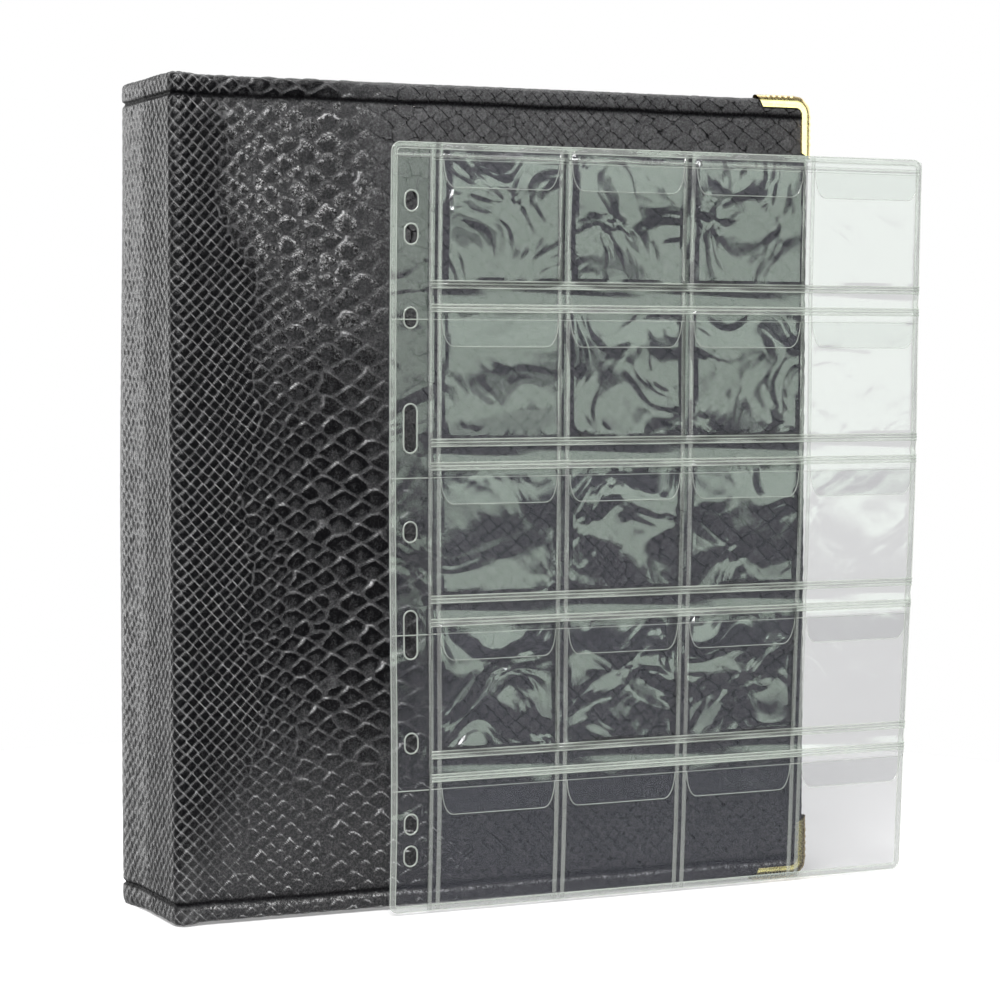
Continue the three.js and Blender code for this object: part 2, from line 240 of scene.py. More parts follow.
def board():
    """Board covered in black paper, which shows only at the hinges of an open album."""
    material, n = new_material("board")
    place = n.place()
    fibre = n.noise(place, 1.4, 5.0, 0.7)
    n.surface(
        Base_Color=n.blend(fibre, (0.022, 0.022, 0.023, 1), (0.045, 0.044, 0.044, 1)),
        Roughness=n.ramp(fibre, 0.3, 0.7, 0.8, 0.95),
        Normal=n.bump(fibre, 0.3, 0.15),
    )
    return material


def foam():
    """The padding's open cells."""
    material, n = new_material("foam")
    cells = n.add("ShaderNodeTexVoronoi", {"Vector": n.place(), "Scale": 1.6}).outputs[0]
    n.surface(
        Base_Color=n.blend(cells, (0.5, 0.49, 0.44, 1), (0.75, 0.73, 0.68, 1)),
        Roughness=n.ramp(cells, 0.0, 0.8, 0.85, 1.0),
        Normal=n.bump(cells, 0.5, 0.25),
    )
    return material


def liner():
    """Fine-grained black lining paper."""
    material, n = new_material("liner")
    place = n.place()
    cells = n.add("ShaderNodeTexVoronoi", {"Vector": place, "Scale": 1.1}).outputs[0]
    tone = n.noise(place, 0.05, 3.0)
    n.surface(
        Base_Color=n.blend(tone, (0.014, 0.014, 0.016, 1), (0.028, 0.028, 0.031, 1)),
        Roughness=n.ramp(cells, 0.0, 0.8, 0.42, 0.6),
        Normal=n.bump(cells, 0.35, 0.2),
    )
    return material


def film(name, alpha, colour_a, colour_b, ior, rough=(0.08, 0.19)):
    """Clear sheet; where the film hangs slack its surface swirls."""
    material, n = new_material(name)
    place = n.place()
    haze = n.noise(place, 0.05, 4.0)
    swirl = n.noise(place, 0.042, 2.1, 0.42, 1.35)
    n.surface(
        Base_Color=n.blend(haze, colour_a, colour_b),
        Roughness=n.ramp(n.noise(place, 0.4, 3.0), 0.3, 0.7, *rough),
        Normal=n.bump(n.times(swirl, n.attribute("slack")), 1.0, 4.5),
        Alpha=alpha,
        IOR=ior,
    )
    return material


def floor_material():
    """Plain white, and a little bright of itself, so that it meets the background unseen."""
    material, n = new_material("floor")
    tone = n.noise(n.place(), 0.004, 2.0)
    n.surface(
        Base_Color=n.blend(tone, (0.86, 0.86, 0.86, 1), (0.89, 0.89, 0.89, 1)),
        Roughness=0.9,
        Emission_Color=(1, 1, 1, 1),
        Emission_Strength=0.28,
    )
    return material


LEATHER, BRASS, STEEL = leatherette(), brass(), steel()
BOARD, FOAM, LINER = board(), foam(), liner()
FILM = film("film", 0.21, (0.082, 0.081, 0.104, 1), (0.107, 0.106, 0.131, 1), 2.7)
WELD = film("weld", 0.45, (0.27, 0.275, 0.27, 1), (0.4, 0.405, 0.395, 1), 1.9, (0.08, 0.16))
EDGE_LINE = film("film_edge", 0.55, (0.38, 0.4, 0.37, 1), (0.54, 0.56, 0.53, 1), 1.9, (0.08, 0.16))
SHEETS = film("filed_sheets", 0.5, (0.55, 0.6, 0.58, 1), (0.68, 0.73, 0.7, 1), 1.8)

# The look of each CAD node, by how its name begins or, failing that, ends.
BEGINNINGS = {"ring_": STEEL, "loose_page": FILM}
ENDINGS = {
    "skin": LEATHER, "padding": FOAM, "board": BOARD, "liner": LINER,
    "corner_bottom": BRASS, "corner_top": BRASS, "margin": SHEETS, "panel": SHEETS,
}
for node in [made for made in scene.objects if made.type == "MESH"]:
    looks = [look for start, look in BEGINNINGS.items() if node.name.startswith(start)]
    looks += [look for ending, look in ENDINGS.items() if node.name.endswith(ending)]
    node.data.materials.clear()
    node.data.materials.append(looks[0] if looks else None)

# ---- mesh helpers -----------------------------------------------------------------------------


def new_object(name, points, faces, material):
    """A smooth mesh from points in millimetres and faces of one size."""
    mesh = bpy.data.meshes.new(name)
    points = np.asarray(points, dtype=np.float64) * MM
    faces = np.asarray(faces, dtype=np.int32)
    mesh.vertices.add(len(points))
    mesh.vertices.foreach_set("co", points.ravel())
    mesh.loops.add(faces.size)
    mesh.loops.foreach_set("vertex_index", faces.ravel())
    mesh.polygons.add(len(faces))
    mesh.polygons.foreach_set("loop_start", np.arange(len(faces)) * faces.shape[1])
    mesh.update(calc_edges=True)
    made = bpy.data.objects.new(name, mesh)
    scene.collection.objects.link(made)
    mesh.materials.append(material)
    mesh.shade_smooth()
    return made


def paint(made, **layers):
    """Named values from 0 to 1 at each point, for the material to read."""
    for label, values in layers.items():
        layer = made.data.attributes.new(label, "FLOAT", "POINT")
        layer.data.foreach_set("value", np.clip(values, 0, 1).astype(np.float32))


def grid_faces(rows, columns, flip=False):
    """Quads for a grid of points stored row by row."""
    start = (np.arange(rows - 1)[:, None] * columns + np.arange(columns - 1)[None, :]).ravel()
    quads = np.stack([start, start + 1, start + columns + 1, start + columns], axis=1)
    return quads[:, ::-1] if flip else quads


def smoothstep(low, high, value):
    """0 below low and 1 above high, with an even curve between."""
    t = np.clip((value - low) / (high - low), 0.0, 1.0)
    return t * t * (3 - 2 * t)


def bump_at(value, centre, width):
    """1 at the centre, falling away to either side."""
    return np.exp(-(((value - centre) / width) ** 2))


# ---- snake grain ------------------------------------------------------------------------------

# Lattices of scales, small to large: width and height.
LATTICES = [(4.1, 4.15), (6.2, 5.2), (9.2, 6.4), (12.2, 7.7)]
# Which lattice the skin shows, by distance from the middle of the spine.
LATTICE_AT = [0, 47, 57, 69, 84, 112, 126, 184, 196, 206, 275]
LATTICE = [0, 0, 1, 2, 3, 3, 0.8, 0.2, 1, 2, 2]
FAR = 9.0  # further than any scale that matters


def chance(a, b, seed):
    """A repeatable number from 0 to 1 for each pair of whole numbers."""
    raw = np.sin(a * 12.9898 + b * 78.233 + seed * 37.719) * 43758.5453
    return raw - np.floor(raw)


def lattice_size(u, v):
    """Which lattice lies where, running smoothly from the small scales to the large ones."""
    wander = 3.5 * np.sin(v / 19 + 1) + 2.4 * np.sin(v / 7.3 + u / 30) + 2 * np.sin(v / 47)
    wander = wander + 9 * smoothstep(150, 260, v)
    size = np.interp(np.abs(u) + wander, LATTICE_AT, LATTICE)
    return size - np.clip(size - 0.8, 0, 1.5) * (1 - smoothstep(10, 75, v)) * 0.85


def lattice_kind(u, v):
    """The number of the lattice that a place belongs to."""
    return np.clip(np.round(lattice_size(u, v)), 0, len(LATTICES) - 1)


def nearest_scales(u, v):
    """Each point's own scale, and its neighbours. Gives how far the point is from the middle of
    its scale, that middle's u, a random number for the scale, and how much further off the
    nearest scale above and the nearest scale below are. One is about a scale's own reach."""
    distances, middles_u, middles_v, lucks = [], [], [], []
    for kind, (wide, tall) in enumerate(LATTICES):
        column = np.round(2 * u / wide)
        for step in (-2, -1, 0, 1, 2):
            k = column + step
            shift = 0.5 * (k % 2)
            row_near = np.round(v / tall - shift)
            for up in (-1, 0, 1):
                j = row_near + up
                stray_u = (0.32 + 0.09 * kind) * (chance(k, j, 1) - 0.5)
                stray_v = (0.18 + 0.06 * kind) * (chance(k, j, 2) - 0.5)
                middle_u, middle_v = (k + stray_u) * wide / 2, (j + shift + stray_v) * tall
                p, q = np.abs(u - middle_u) / (wide / 2), np.abs(v - middle_v) / (tall / 2)
                distance = (p**1.3 + q**1.3) ** (1 / 1.3)
                here = lattice_kind(middle_u, middle_v) == kind
                distances.append(np.where(here, distance, FAR))
                middles_u.append(middle_u)
                middles_v.append(middle_v)
                lucks.append(chance(k, j, 3))
    distances, middles_v = np.stack(distances), np.stack(middles_v)
    winner = np.argmin(distances, axis=0)[None]
    first, own_u, own_v, luck = (
        np.take_along_axis(table, winner, 0)[0]
        for table in (distances, np.stack(middles_u), middles_v, np.stack(lucks))
    )
    others = distances - first
    np.put_along_axis(others, winner, FAR, 0)
    higher = middles_v > own_v + 0.05
    above = np.where(higher, others, FAR).min(axis=0)
    below = np.where(higher, FAR, others).min(axis=0)
    return first, own_u, luck, above, below


def snake_grain(u, v):
    """The grain at each point: its height, then what to paint there (the black scales with painted
    shade under their heads, the pale lines between them with some painted light, painted highlights
    on the rims and painted glints), all about 0 to 1, and last how far the large scales have taken
    over. Each scale climbs slowly from its foot and drops steeply past its round head."""
    u = u + 1.6 * np.sin(v / 31 + 0.8) + 0.8 * np.sin(v / 14 + u / 40)
    v = v + 1.3 * np.sin(u / 19) + 0.6 * np.sin(u / 8 + v / 50)
    first, own_u, luck, above, below = nearest_scales(u, v)
    nearest = np.minimum(above, below)
    size = lattice_size(u, v)

    # Where on the cover: large scales, the plain foot, the smooth fore-edge, and the top, where
    # glints are painted.
    large = smoothstep(0.2, 1.3, size)
    foot = (1 - smoothstep(18, 80, v)) * smoothstep(35, 60, np.abs(u) + 0.3 * (60 - v))
    smooth = smoothstep(88, 122, np.abs(u) + 0.12 * (v - 130))
    high = smoothstep(150, 235, v) * smoothstep(CREASE, CREASE + 5, HEIGHT - v)
    plain = np.maximum(smooth, 0.3 * high * large)
    meeting = np.abs(size % 1 - 0.5)  # 0 where two lattices meet
    whole = 0.2 + 0.8 * smoothstep(0.02, 0.25, meeting)

    slope = 0.15 + 0.85 * np.clip(below / 1.6, 0, 1) ** 1.4
    dome = 1 - 0.55 * np.clip(first, 0, 1.2) ** 2
    slope = slope + (dome - slope) * 0.75 * (1 - large)
    height = slope * smoothstep(0.0, 0.4, above) * smoothstep(0.0, 0.22, below)
    height = height * (0.8 + 0.35 * luck) * (1 - 0.35 * smooth)

    # Plain scales are pale with thin dark outlines; the others are black inside, partly their own
    # colour and partly painted shade, darkest just under each large scale's head.
    inside = smoothstep(0.1, 0.34, nearest)
    hollow_shade = smoothstep(0.2, 0.36, above) * (1 - 0.6 * smoothstep(0.9, 1.8, above))
    hollow_shade = hollow_shade * smoothstep(0.1, 0.4, below)
    black_and_shade = (inside * (1 - large) + hollow_shade * large) * (1 - 0.85 * foot)
    outline = (1 - smoothstep(0.1, 0.36, above)) * plain
    black_and_shade = np.maximum(black_and_shade * (1 - plain), outline)

    # Pale lines between the small scales, partly the skin's own colour and partly painted light.
    net_and_light = (1 - smoothstep(0.04, 0.22, nearest)) * (1 - large) * (0.35 + 0.85 * luck)
    net_and_light = net_and_light * whole * (1 - smooth) * (1 - 0.25 * high) * (1 - 0.8 * foot)
    net_and_light = net_and_light + (0.06 + 0.1 * luck) * smooth * (1 - outline)

    # Painted highlights along each scale's rim just past its head, stronger on its left side, where
    # the light falls.
    left = 1 - smoothstep(-1.2, 1.0, u - own_u)
    rim = bump_at(above, 0.14, 0.1) * smoothstep(0.45, 0.85, slope)
    rim = rim * np.maximum(0.12 + 0.88 * left * luck**1.3, 0.75 * foot)
    rim = rim * (0.5 + 0.5 * np.maximum(large, foot)) * whole * (1 - 0.75 * smooth)

    # Painted glints at the heads of the large scales near the top of the cover.
    head = smoothstep(0.22, 0.5, above) * (1 - smoothstep(0.6, 1.4, above))
    sparkle = inside * large * head * high * (0.3 + 0.7 * luck) * (1 - smooth)
    return height, black_and_shade, net_and_light, rim, sparkle, large


# ---- skins ------------------------------------------------------------------------------------

# Distances u along the leatherette, from the middle of the spine.
STRAIGHT = DEPTH / 2 - HINGE_RADIUS  # where the spine starts to bend into the cover
ARC = HINGE_RADIUS * math.pi / 2  # the length of that bend
HINGE = STRAIGHT + ARC / 2  # its middle
EDGE = STRAIGHT + ARC + WIDTH - HINGE_RADIUS  # the fore-edge
TUCK = 5.0  # how far the leatherette reaches in past a turned edge
BRASS_SEAT = 0.75  # how low the leatherette lies under a brass corner

def skin_profile(u):
    """The outer surface across the album, from the middle of the spine (u = 0) round to the
    fore-edge: places, outward directions, and the radius of the turned head and foot edges."""
    angle = np.clip((u - STRAIGHT) / HINGE_RADIUS, 0, math.pi / 2)
    x = np.where(u < STRAIGHT, 0.0, HINGE_RADIUS * (1 - np.cos(angle)))
    y = np.where(u < STRAIGHT, DEPTH / 2 - u, HINGE_RADIUS * (1 - np.sin(angle)))
    x = x + np.clip(u - STRAIGHT - ARC, 0, None)
    nx, ny = -np.cos(angle), -np.sin(angle)
    roll = SPINE_ROLL + (COVER_ROLL - SPINE_ROLL) * smoothstep(STRAIGHT, STRAIGHT + ARC + 6, u)
    return x, y, nx, ny, roll + (HINGE_ROLL - roll) * bump_at(u, HINGE, 5.0)


def turned(u, v):
    """Leatherette laid flat past a cover's edges, wrapped round them. Gives the place along and
    up the cover, the surface there, its outward direction, and how far it faces outwards, from
    -1 on the inner face to 1 on the outer face."""
    roll = skin_profile(u)[4]
    rounding = CORNER_RADIUS - roll
    du = np.clip(u - (EDGE - COVER_ROLL - rounding), 0, None)
    dv = np.clip(v - (HEIGHT - roll - rounding), 0, None) - np.clip(roll + rounding - v, 0, None)
    reach = np.maximum(np.hypot(du, dv), 1e-9)
    away = np.clip(reach - rounding, 0, None)
    out_u, out_v = du / reach, dv / reach
    turn = np.clip(away / roll, 0, math.pi)
    beyond = np.clip(away - math.pi * roll, 0, None)
    lateral = roll * np.sin(turn) - beyond - away
    place_u, place_v = u + out_u * lateral, v + out_v * lateral
    depth = roll * (1 - np.cos(turn))
    x, y, nx, ny, _ = skin_profile(np.clip(place_u, 0, EDGE))
    face, lean = np.cos(turn), np.sin(turn)
    surface = np.stack([x - nx * depth, y - ny * depth, place_v])
    outward = np.stack([face * nx - lean * out_u * ny, face * ny + lean * out_u * nx, lean * out_v])
    return place_u, place_v, surface, outward, face


def on_side(points, side):
    """Points measured from the outer front corner, for the front half or the back half."""
    x, y, z = points
    return np.stack([x + X0, (y if side > 0 else DEPTH - y) + Y0, z], axis=1)


def padded_shape(side, u, v, place_u, from_edge, on_cover):
    """How far the skin stands out before its grain is added: padding swells it between the
    creases, and the head and foot hems are rolled. Also gives how far each point is past the
    crease, and how deep in the crease it is."""
    crown = smoothstep(CREASE, CREASE + 9, from_edge) * smoothstep(0, 12, EDGE - place_u)
    puff = crown * (0.55 * on_cover + 0.7 * (1 - on_cover) * bump_at(place_u, 0, 16))
    hem = bump_at(from_edge, CREASE * 0.5, 2.6) * (0.4 + 0.6 * on_cover)
    wander = 0.12 * np.sin(u / 9.0) + 0.08 * np.sin(u / 3.7 + 1)
    past_crease = from_edge + wander - CREASE
    crease = bump_at(past_crease, 0, np.where(past_crease < 0, 0.4, 0.7 + on_cover))
    shape = puff + 0.15 - 0.7 * on_cover + 0.4 * hem - (1.05 - 0.45 * on_cover) * crease
    if side < 0:  # the spine's far edge is fuller towards the foot
        shape = shape + 1.9 * (1 - smoothstep(120, 265, v)) * bump_at(place_u, HINGE, 12)
    return shape, past_crease, crease


def under_brass(place_u, from_edge):
    """1 where a brass corner covers the skin, and 0 elsewhere."""
    far = np.stack([EDGE - place_u, from_edge])
    within = 1 - smoothstep(BRASS_REACH - 1.6, BRASS_REACH - 0.4, far.max(axis=0))
    return within * (1 - smoothstep(BRASS_FLANGE - 0.3, BRASS_FLANGE + 0.5, far.min(axis=0)))


def skin(name, side, pitch, nodes):
    """One half of the album's skin; side is 1 for the front half and -1 for the back half."""
    wrap = math.pi * COVER_ROLL + TUCK
    us = np.linspace(0, EDGE - COVER_ROLL + wrap, int((EDGE + wrap) / pitch))
    low, high = COVER_ROLL - wrap, HEIGHT - COVER_ROLL + wrap
    vs = np.linspace(low, high, int((high - low) / pitch))
    u, v = (g.ravel() for g in np.meshgrid(us, vs))
    place_u, place_v, surface, outward, face = turned(u, v)
    from_edge = np.minimum(place_v, HEIGHT - place_v)
    on_cover = smoothstep(STRAIGHT + ARC - 1, STRAIGHT + ARC + 7, place_u)
    shape, past_crease, crease = padded_shape(side, u, v, place_u, from_edge, on_cover)

    # The grain is weaker at the cover's foot, where it is stretched round the hinge, and in
    # the crease.
    grain, black_and_shade, net_and_light, rim, glint, kind = snake_grain(side * u, v)
    lower = 1 - 0.6 * on_cover * (1 - smoothstep(5, 100, v))
    stretched = 1 - (0.4 if side > 0 else 0.85) * bump_at(place_u, HINGE, 5)
    strong = (0.26 + 0.2 * kind) * (2.2 - 1.2 * on_cover)
    relief = strong * lower * stretched * (1 - 0.6 * crease) * (grain - 0.6)

    # The turned-in edge lies flat on the inner face, and so does the skin under the brass.
    under = under_brass(place_u, from_edge)
    lift = np.maximum(shape + relief, -0.8 - 0.53 * on_cover)
    tucked = smoothstep(0.0, 0.7, -face)
    lift = (lift * (1 - tucked) - 0.1 * tucked) * (1 - under) - BRASS_SEAT * under

    # Painted light: pale at the hinge, and a painted highlight on the hem just below the crease at
    # the foot. The crease itself is painted black as shade, and dull.
    line = bump_at(past_crease, 0.1, 1.0)
    net_and_light = np.maximum(net_and_light, 0.4 * bump_at(place_u, STRAIGHT + ARC, 4.0) * (0.4 + 0.6 * (1 - black_and_shade)))
    fold_highlight = bump_at(past_crease, -1.6, 0.5) * on_cover * (v < HEIGHT / 2)
    glint = np.maximum(glint, 0.8 * fold_highlight)
    net_and_light, rim, glint = (layer * (1 - np.clip(1.3 * line, 0, 1)) for layer in (net_and_light, rim, glint))

    points = on_side(surface + outward * lift, side)
    made = new_object(name, points, grid_faces(len(vs), len(us), side > 0), LEATHER)
    paint(
        made, scale_gloss=np.maximum(black_and_shade, line), scale_net=net_and_light * lower,
        scale_rim=rim, scale_glint=glint, scale_line=line,
    )
    for node in nodes:
        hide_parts(node)
    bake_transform(made)


FINE = 0.42
skin(
    "front_leatherette", 1, FINE,
    ["front_cover_skin", "spine_skin"],
)
skin(
    "back_leatherette", -1, FINE * 1.5,
    ["back_cover_skin"],
)

# ---- brass corners ----------------------------------------------------------------------------


def brass_corner(name, side, top, body, node):
    """A bent brass sheet over one fore-edge corner, beaded along its rim."""
    roll, inner = COVER_ROLL, CORNER_RADIUS - COVER_ROLL
    bend = inner * math.pi / 2  # the flat length of the corner's curve
    leg = BRASS_REACH - CORNER_RADIUS  # each straight leg beyond the curve
    flat = BRASS_FLANGE - roll  # each flange beyond the turned edge
    half_way = math.pi * roll / 2  # from the outer face to the middle of the turned edge
    pitch = 0.2
    across = np.linspace(-flat - 0.7, 2 * half_way + flat + 0.7, int(30 / pitch / 2))
    along = np.linspace(-1, 1, int(44 / pitch))
    t, c = np.meshgrid(along, across)
    out = np.abs(c - half_way)
    inwards = roll * (1 - np.cos(np.clip(out, 0, half_way) / roll))
    inwards = inwards + np.clip(out - half_way, 0, flat)
    s = t * (leg + bend / 2 - BRASS_SLANT * inwards / BRASS_FLANGE)
    s, c = s.ravel(), c.ravel()
    # The corner of the turned edge, opened out flat: legs, and a fan between them.
    angle = np.clip((s + bend / 2) / inner, 0, math.pi / 2)
    past_u = np.clip(-bend / 2 - s, 0, None)
    past_v = np.clip(s - bend / 2, 0, None)
    reach = inner + np.clip(c, -flat, 2 * half_way + flat)
    u, v = EDGE - CORNER_RADIUS - past_v, HEIGHT - CORNER_RADIUS - past_u
    u = u + reach * np.sin(math.pi / 2 - angle)
    v = v + reach * np.cos(math.pi / 2 - angle)
    _, _, surface, outward, _ = turned(u, v)
    # The sheet swells over the turned edge, has a row of beads, and dips in at its rim.
    out = np.abs(c - half_way)
    hidden = np.clip(out - half_way - flat, 0, None)
    swell = 1 - smoothstep(0, half_way + flat, out)
    beads = bump_at(out, half_way * 0.2, 0.9) * (0.5 - 0.5 * np.cos(2 * math.pi * s / 2.3))
    beads = beads * smoothstep(0, 1.5, leg - np.abs(s))
    lift = 0.15 + 0.6 * swell + 0.24 * beads - 1.2 * hidden
    surface = surface + outward * lift
    if not top:
        surface[2] = HEIGHT - surface[2]
    faces = grid_faces(len(across), len(along), (side > 0) != top)
    made = new_object(name, on_side(surface, side), faces, BRASS)
    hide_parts(node)
    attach(made, body)


for body, side in (("front_cover", 1), ("back_cover", -1)):
    for end in ("top", "bottom"):
        node = f"{body}_corner_{end}"
        brass_corner(f"{node}_brass", side, end == "top", body, node)

# ---- the loose page ---------------------------------------------------------------------------

PAGE_AT = Vector((X0 + 68.2, Y0 - 9.6, 0.3))
PAGE_TURN = Matrix.Rotation(math.radians(1.77), 3, "Z")
PAGE_TURN = PAGE_TURN @ Matrix.Rotation(math.radians(2.34), 3, "X")
PAGE_OUT = np.array(PAGE_TURN @ Vector((0, -1, 0)))  # towards the viewer
PAGE_WIDE, PAGE_TALL, PAGE_RADIUS = 200.0, 250.0, 3.3
MARGIN, WELD_PAIR, COLUMN_PITCH = 14.5, 3.0, 46.25
LAP = 0.2  # how far the margin's film runs on under the pockets
ROW_PITCH = 51
MOUTHS = [40.5 + ROW_PITCH * row_index for row_index in range(5)]  # heights of pocket mouths
LOW_WELD, HIGH_WELD = 3.7, 11.3  # heights above a mouth of the two weld bands between rows
FLAP_TOP = 4.7  # height above a mouth where its flap film ends and the next pocket film starts
TONGUE_DROP, TONGUE_SIDE = 8.7, 4.4  # how far a tongue hangs below its mouth, and its side's curve
HOLE_X, HOLE_RADIUS = 7.6, 2.0
# The height of each punched hole, and half of its length.
HOLES = [(125.0, 3.0)] + [
    (125 + sign * offset, half)
    for offset, half in ((33.5, 7.6), (69, 3.0), (95.7, 3.0), (106.3, 3.0))
    for sign in (-1, 1)
]


def waves(a, b, seed, longest, shortest, stretch=1.0, count=14):
    """A repeatable smooth field of slopes: waves of mixed lengths, wider than tall by stretch."""
    rng = np.random.default_rng(seed)
    total = np.zeros_like(a)
    for _ in range(count):
        length = shortest * (longest / shortest) ** rng.random()
        heading = rng.random() * math.pi
        k = 2 * math.pi / length
        phase = rng.random() * 2 * math.pi
        along = a * math.cos(heading) / stretch + b * math.sin(heading)
        total += length * np.sin(k * along + phase)
    return total / (2 * math.pi * math.sqrt(count))


def pocket_of(a, b):
    """Column and row numbers, and how far inside its pocket's welds each point is."""
    column = np.clip(np.floor((a - MARGIN) / COLUMN_PITCH), 0, 3)
    left = MARGIN + WELD_PAIR + column * COLUMN_PITCH
    row_index = np.clip(np.floor((b - MOUTHS[0] + ROW_PITCH - LOW_WELD - 0.5) / ROW_PITCH), 0, 4)
    foot = np.where(row_index == 0, 0.8, MOUTHS[0] + ROW_PITCH * (row_index - 1) + HIGH_WELD)
    head = MOUTHS[0] + ROW_PITCH * row_index + LOW_WELD
    inside_a = np.minimum(a - left, left + COLUMN_PITCH - WELD_PAIR - a)
    inside_b = np.minimum(b - foot, head - b)
    return column, row_index, inside_a, inside_b


def page_bend(a, b):
    """How far the whole page stands off its plane, towards the viewer."""
    bend = 0.5 * np.sin(b / 46 + 0.6) * np.sin(a / 70 + 0.4) + 0.35 * np.sin(b / 23 + a / 90)
    # The strip between the two weld bands bulges back.
    above_mouth = (b - MOUTHS[0]) % ROW_PITCH
    share = np.clip((above_mouth - LOW_WELD) / (HIGH_WELD - LOW_WELD), 0, 1)
    share = share * (b > MOUTHS[0]) * (a > MARGIN)
    return bend - (0.3 + 0.12 * np.sin(a / 9 + b)) * np.sin(math.pi * share) ** 2


def slackness(a, b):
    """How freely the pocket films hang: not at the welds, and least in the lowest row. Gives how
    far from the welds a point is, how slack its pocket is, and whether its ripples are bands."""
    column, row_index, inside_a, inside_b = pocket_of(a, b)
    sway = 1.1 + 1.1 * np.sin(b / 5.3 + a / 17) * np.sin(a / 6.1 - b / 23)
    held = smoothstep(0.0, 3.0, inside_a + sway) * smoothstep(0.0, 3.0, inside_b + sway)
    calm = np.choose(row_index.astype(int), [0.1, 1.0, 0.75, 0.8, 0.9])
    calm = calm * np.where(column == 3, 0.22, 1.0)
    banded = (column == 0) & (row_index > 1) & (row_index < 4)
    return held, calm, banded


def film_ripple(a, b, seed=5):
    """The pocket films' own ripples, strong in the upper rows and calm in the lowest, and how
    far from the welds each point is."""
    held, calm, banded = slackness(a, b)
    bands = 0.2 * waves(a * 0.35, b + 4 * np.sin(a / 13), seed, 30, 14, 2.2)
    blots = 0.1 * waves(a + 4 * np.sin(b / 9), b + 4 * np.sin(a / 7), seed + 6, 40, 17, 1.2)
    return held * calm * np.where(banded, bands, blots), held


def page_drift(a, b):
    """How far the sheet strays sideways: its left edge leans and its right edge bows a little."""
    left = 0.8 - 2.9 * smoothstep(10, 215, b)
    right = 1.35 * np.sin(math.pi * (b - 15) / 225) - 0.5
    return left + (right - left) * a / PAGE_WIDE


def page_points(a, t, b):
    """Points from across, out of and up the page to the row frame, in millimetres."""
    local = np.stack([a + page_drift(a, b), t - page_bend(a, b), b], axis=1)
    return local @ np.array(PAGE_TURN).T + np.array(PAGE_AT)


def panel(a0, a1, low, high, layer, pitch=1.25):
    """The points and faces of a sheet between two edges, low(a) and high(a), on a layer."""
    columns = max(int((a1 - a0) / pitch), 2)
    a = np.linspace(a0, a1, columns)
    bottom, top_edge = low(a), high(a)
    rows = max(int((top_edge.max() - bottom.min()) / pitch), 3)
    share = np.linspace(0, 1, rows)[:, None]
    b = bottom[None] + (top_edge - bottom)[None] * share
    a = np.broadcast_to(a, b.shape)
    return layer(a.ravel(), b.ravel()), grid_faces(rows, columns)


def joined(name, parts, material):
    """One object from several parts of the loose page, painted with how slack the film is."""
    points, faces, base = [], [], 0
    for part_points, part_faces in parts:
        points.append(part_points)
        faces.append(np.asarray(part_faces) + base)
        base += len(part_points)
    points = np.concatenate(points)
    made = new_object(name, points, np.concatenate(faces), material)
    local = (points - np.array(PAGE_AT)) @ np.array(PAGE_TURN)
    held, calm, banded = slackness(local[:, 0], local[:, 2])
    in_margin = (local[:, 0] < MARGIN) * 0.35
    paint(made, slack=np.maximum(held * calm * np.where(banded, 0.5, 1.0), in_margin))
    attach(made, "loose_page")
    return made


# Each layer gives the points of one film at places across and up the page.


def back_layer(a, b):
    ripple, held = film_ripple(a, b, 23)
    return page_points(a, 0.1 - 0.5 * ripple + 0.06 * held, b)


def pocket_layer(a, b):
    ripple, held = film_ripple(a, b)
    return page_points(a, -0.3 - 0.08 * held - ripple, b)


def flap_layer(a, b):
    ripple, held = film_ripple(a, b)
    return page_points(a, -0.45 - 0.14 * held - 0.9 * ripple, b)


def flat_layer(out):
    """A layer without ripples, this far in front of the page's middle."""
    return lambda a, b: page_points(a, np.full_like(a, -out), b)


def rounded(value, start, end, radius):
    """How far an edge is drawn in at each place near the ends of its run, for round corners."""
    near = np.clip(radius - np.minimum(value - start, end - value), 0, radius)
    return radius - np.sqrt(np.maximum(radius**2 - near**2, 0))


def constant(height):
    """A level edge."""
    return lambda a: np.full_like(a, height)


def bead(path_a, path_b, layer, half, rise, sides=4, closed=False):
    """A round-topped weld line along a path on a layer, reaching half to either side of it."""
    path = np.stack([path_a, path_b], axis=1).astype(float)
    ahead = np.roll(path, -1, axis=0) - np.roll(path, 1, axis=0)
    if not closed:
        ahead[0], ahead[-1] = path[1] - path[0], path[-1] - path[-2]
    ahead /= np.linalg.norm(ahead, axis=1)[:, None]
    across = np.stack([-ahead[:, 1], ahead[:, 0]], axis=1)
    angles = np.linspace(0, math.pi, sides + 1)
    rings = []
    for angle in angles:
        edge = path + across * half * math.cos(angle)
        rings.append(layer(edge[:, 0], edge[:, 1]) + PAGE_OUT * rise * math.sin(angle))
    points = np.stack(rings).reshape(-1, 3)
    count = len(path)
    faces = grid_faces(sides + 1, count, True)
    if closed:
        wrap = [
            [i * count + count - 1, (i + 1) * count + count - 1, (i + 1) * count, i * count]
            for i in range(sides)
        ]
        faces = np.concatenate([faces, np.array(wrap)])
    return points, faces


def band(path, half, layer, ridges=1):
    """A flat pale weld stripe along a straight path, with a few ridges along it."""
    path_a, path_b = path
    ahead = np.array([path_a[-1] - path_a[0], path_b[-1] - path_b[0]])
    ahead = ahead / np.linalg.norm(ahead)
    offsets = np.linspace(-1, 1, 6 * ridges + 1)
    rings = []
    for offset in offsets:
        ring = layer(path_a - ahead[1] * half * offset, path_b + ahead[0] * half * offset)
        height = 0.22 * (1 - offset**6) * (0.7 - 0.3 * math.cos(math.pi * ridges * (offset + 1)))
        rings.append(ring + PAGE_OUT * height)
    return np.stack(rings).reshape(-1, 3), grid_faces(len(offsets), len(path_a))


